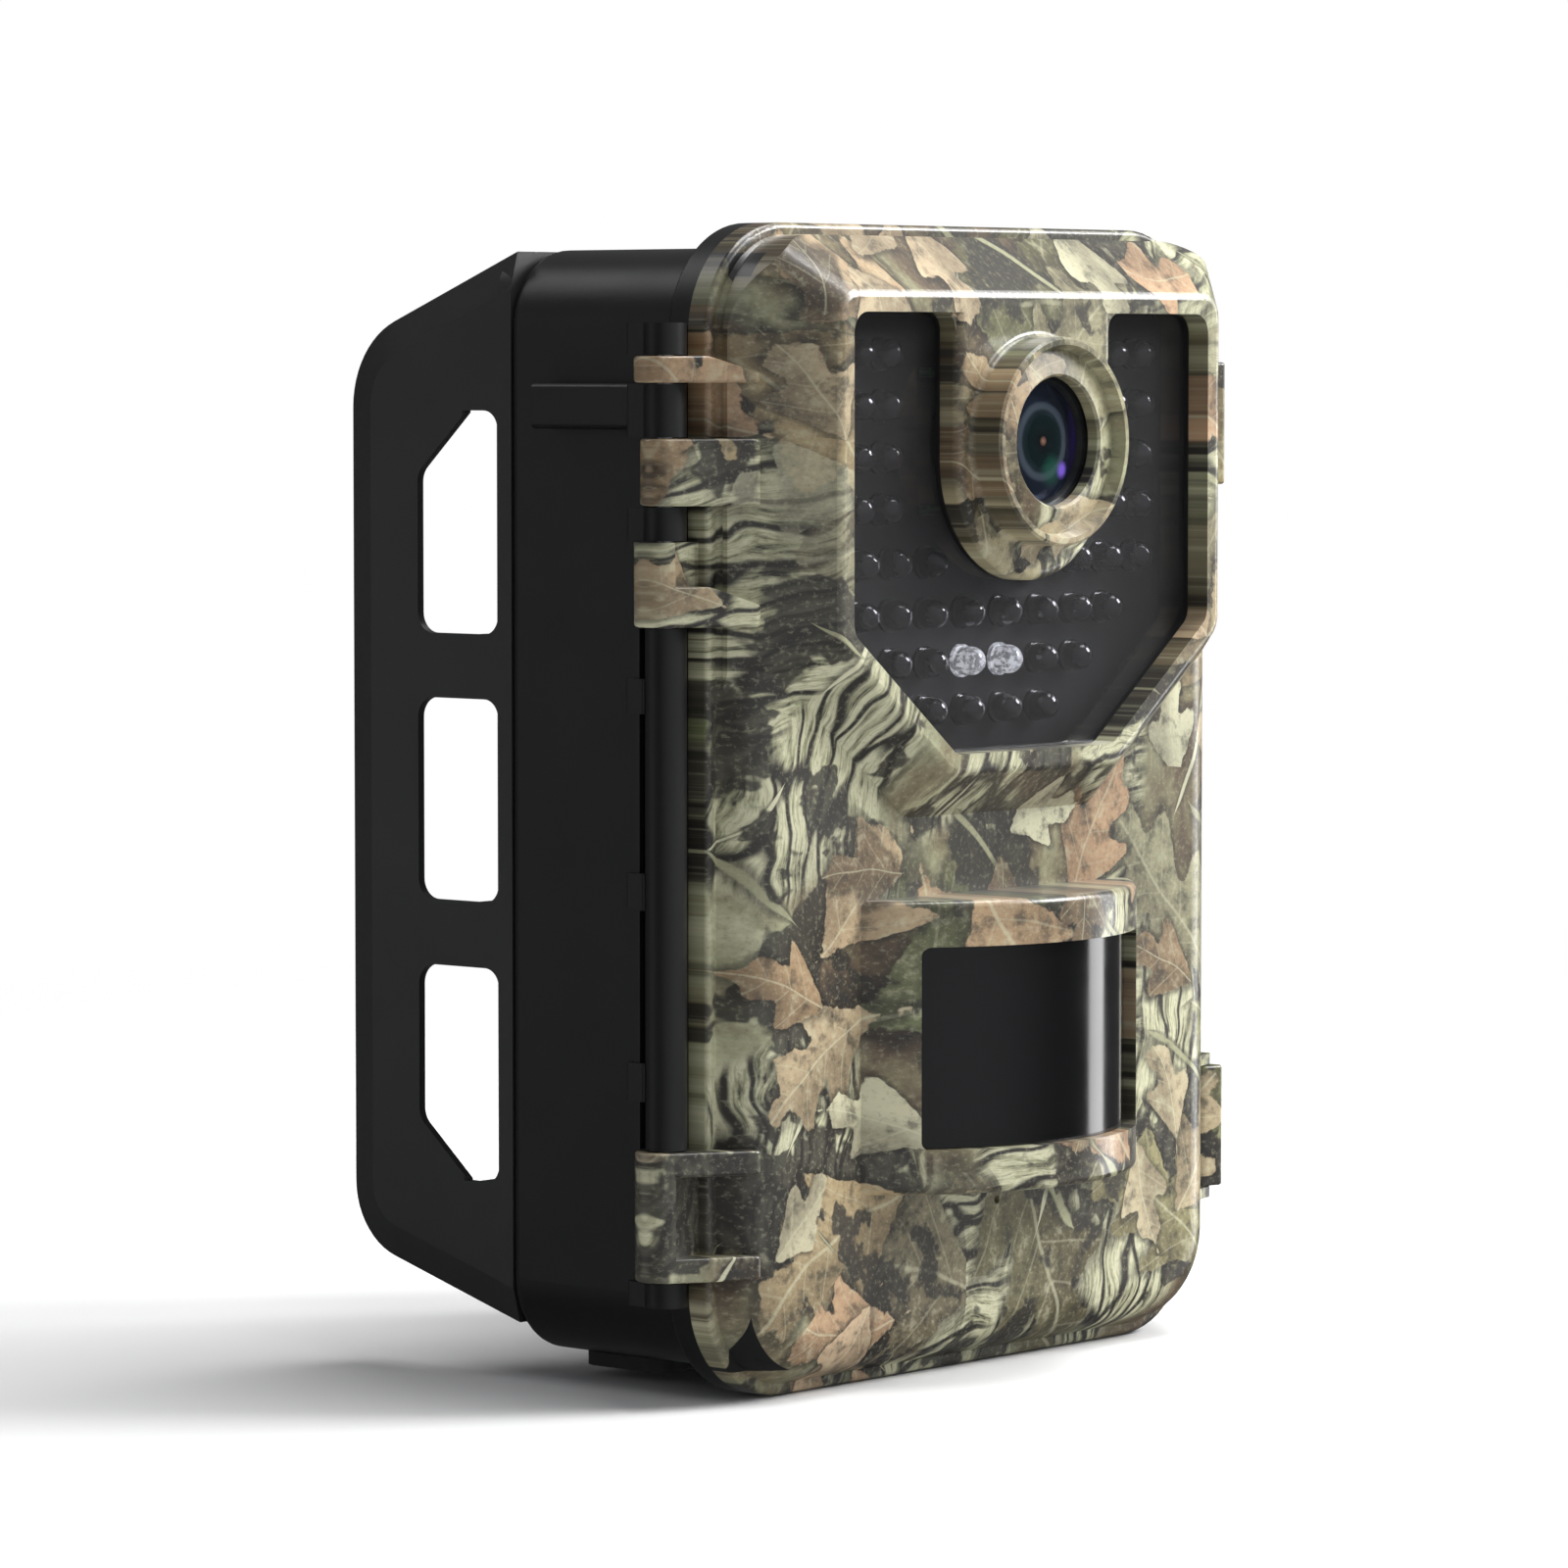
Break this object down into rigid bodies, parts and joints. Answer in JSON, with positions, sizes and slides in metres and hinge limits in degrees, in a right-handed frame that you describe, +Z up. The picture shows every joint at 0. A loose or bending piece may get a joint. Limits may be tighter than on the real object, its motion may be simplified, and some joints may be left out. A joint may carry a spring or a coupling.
{
  "type": "trail camera",
  "caption": "Trail camera with a hinged camouflaged front door, infrared lamp window, half-round motion sensor, black rear case and a tree bracket with strap slots.",
  "frame": {"origin": "centre of the tripod socket's mouth, on the lowest face of the case", "axes": "+Z up, -Y towards the scene the lens looks at, +X to the right seen from the front"},
  "size_m": [0.1023, 0.0774, 0.135],
  "materials": {
    "camo_plastic": "semi-gloss moulded plastic with a printed oak-leaf and bark camouflage",
    "black_case": "satin black moulded plastic",
    "black_bracket": "satin black moulded plastic with a fine grain",
    "black_inner": "matt black moulded plastic",
    "smoked_panel": "glossy smoked clear panel",
    "pir_window": "gloss black film lens",
    "clear_lamp": "clear epoxy",
    "optical_glass": "clear coated glass",
    "circuit_board": "green solder mask",
    "black_chip": "moulded black packages",
    "steel": "plated steel",
    "brass": "turned brass",
    "soft_rubber": "matt black rubber",
    "battery_sleeve": "printed sleeve without lettering",
    "screen": "dark glossy screen",
    "grey_key": "grey moulded keys"
  },
  "bodies": {
    "case": {"rear_case": "black_case", "tree_bracket": "black_bracket", "bracket_screws": "steel", "tripod_insert": "brass", "hinge_pin": "steel", "hinge_tube": "black_case", "battery_box": "black_inner", "battery_cells": "battery_sleeve", "battery_springs": "steel", "battery_contacts": "steel", "dc_jack": "black_inner", "door_seal": "soft_rubber", "power_lead": "soft_rubber"},
    "door": {"front_shell": "camo_plastic", "ir_window": "smoked_panel", "ir_lamps": "clear_lamp", "white_lamps": "clear_lamp", "lamp_board": "circuit_board", "lens_cover": "optical_glass", "lens_barrel": "black_inner", "lens_glass": "optical_glass", "ir_cut_housing": "black_inner", "image_sensor": "black_chip", "sensor_board": "circuit_board", "pir_lens": "pir_window", "pir_sensor": "steel", "main_board": "circuit_board", "board_screws": "steel", "board_chips": "black_chip", "key_switches": "black_chip", "inner_panel": "black_inner", "panel_screws": "steel", "lcd_display": "screen", "lcd_cover": "optical_glass", "power_switch_body": "black_inner", "card_socket": "steel", "usb_port": "black_inner", "microphone": "black_inner", "speaker": "black_inner", "latch_pins": "steel"},
    "latch_upper": {"latch_upper": "camo_plastic"},
    "latch_lower": {"latch_lower": "camo_plastic"},
    "battery_cover": {"battery_cover": "black_inner"},
    "port_plug": {"port_plug": "soft_rubber"},
    "power_switch": {"power_switch_knob": "grey_key"},
    "memory_card": {"memory_card": "black_chip"},
    "ir_cut_filter": {"ir_cut_filter": "black_inner"},
    "key_up": {"key_up": "grey_key"},
    "key_down": {"key_down": "grey_key"},
    "key_left": {"key_left": "grey_key"},
    "key_right": {"key_right": "grey_key"},
    "key_ok": {"key_ok": "grey_key"},
    "key_menu": {"key_menu": "grey_key"}
  },
  "joints": [
    {"name": "door_hinge", "type": "hinge", "parent": "case", "child": "door", "pos_m": [-0.0493, -0.015, 0.0675], "axis": [0, 0, -1], "range_deg": [0, 140]},
    {"name": "latch_upper_pivot", "type": "hinge", "parent": "door", "child": "latch_upper", "pos_m": [0.0473, -0.0176, 0.1115], "axis": [0, 0, -1], "range_deg": [0, 75]},
    {"name": "latch_lower_pivot", "type": "hinge", "parent": "door", "child": "latch_lower", "pos_m": [0.0473, -0.0176, 0.0245], "axis": [0, 0, -1], "range_deg": [0, 75]},
    {"name": "battery_cover_slide", "type": "slide", "parent": "case", "child": "battery_cover", "axis": [0, 0, -1], "range_m": [0, 0.004]},
    {"name": "port_plug_hinge", "type": "hinge", "parent": "case", "child": "port_plug", "pos_m": [-0.029, 0.011, 0.00205], "axis": [1, 0, 0], "range_deg": [0, 100]},
    {"name": "power_switch_slide", "type": "slide", "parent": "door", "child": "power_switch", "axis": [1, 0, 0], "range_m": [0, 0.006]},
    {"name": "memory_card_slide", "type": "slide", "parent": "door", "child": "memory_card", "axis": [0, 0, -1], "range_m": [0, 0.01]},
    {"name": "ir_cut_filter_slide", "type": "slide", "parent": "door", "child": "ir_cut_filter", "axis": [1, 0, 0], "range_m": [0, 0.0062]},
    {"name": "key_up_press", "type": "slide", "parent": "door", "child": "key_up", "axis": [0, -1, 0], "range_m": [0, 0.0005], "stiffness_N_per_m": 400},
    {"name": "key_down_press", "type": "slide", "parent": "door", "child": "key_down", "axis": [0, -1, 0], "range_m": [0, 0.0005], "stiffness_N_per_m": 400},
    {"name": "key_left_press", "type": "slide", "parent": "door", "child": "key_left", "axis": [0, -1, 0], "range_m": [0, 0.0005], "stiffness_N_per_m": 400},
    {"name": "key_right_press", "type": "slide", "parent": "door", "child": "key_right", "axis": [0, -1, 0], "range_m": [0, 0.0005], "stiffness_N_per_m": 400},
    {"name": "key_ok_press", "type": "slide", "parent": "door", "child": "key_ok", "axis": [0, -1, 0], "range_m": [0, 0.0005], "stiffness_N_per_m": 400},
    {"name": "key_menu_press", "type": "slide", "parent": "door", "child": "key_menu", "axis": [0, -1, 0], "range_m": [0, 0.0005], "stiffness_N_per_m": 400}
  ]
}
